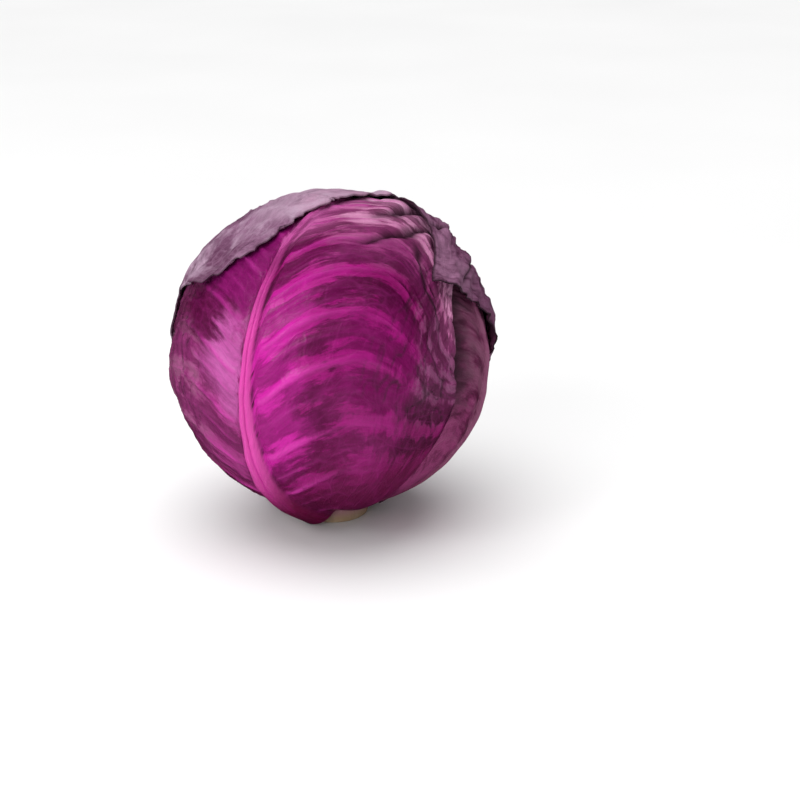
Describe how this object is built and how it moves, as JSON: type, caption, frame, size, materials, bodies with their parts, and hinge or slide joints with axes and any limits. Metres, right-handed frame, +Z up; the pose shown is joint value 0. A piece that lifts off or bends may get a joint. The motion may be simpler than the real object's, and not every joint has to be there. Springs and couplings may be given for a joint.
{
  "type": "red cabbage",
  "caption": "Whole head of red cabbage: crinkled purple wrapper leaves with pale ribs folded over a dense heart, standing on its cut stem.",
  "frame": {"origin": "centre of the stem's cut face, which the head stands on", "axes": "+Z up the stem's axis through the crown; -Y towards the side that the picture shows; the front leaf's midrib lies 29 degrees from -Y towards -X"},
  "size_m": [0.163, 0.1587, 0.1655],
  "materials": {
    "leaf_skin": "waxy purple leaf, satin where rubbed and matt grey-violet where its bloom is left, with pink ribs and veins",
    "heart_skin": "smooth, brighter purple inner leaf",
    "stem_flesh": "matt, freshly cut cream stem"
  },
  "bodies": {
    "root": {"stem": "stem_flesh", "heart": "heart_skin", "leaf_back": "leaf_skin", "leaf_left": "leaf_skin", "leaf_right": "leaf_skin", "leaf_front": "leaf_skin", "leaf_back_right": "leaf_skin", "leaf_back_left": "leaf_skin"}
  },
  "joints": []
}
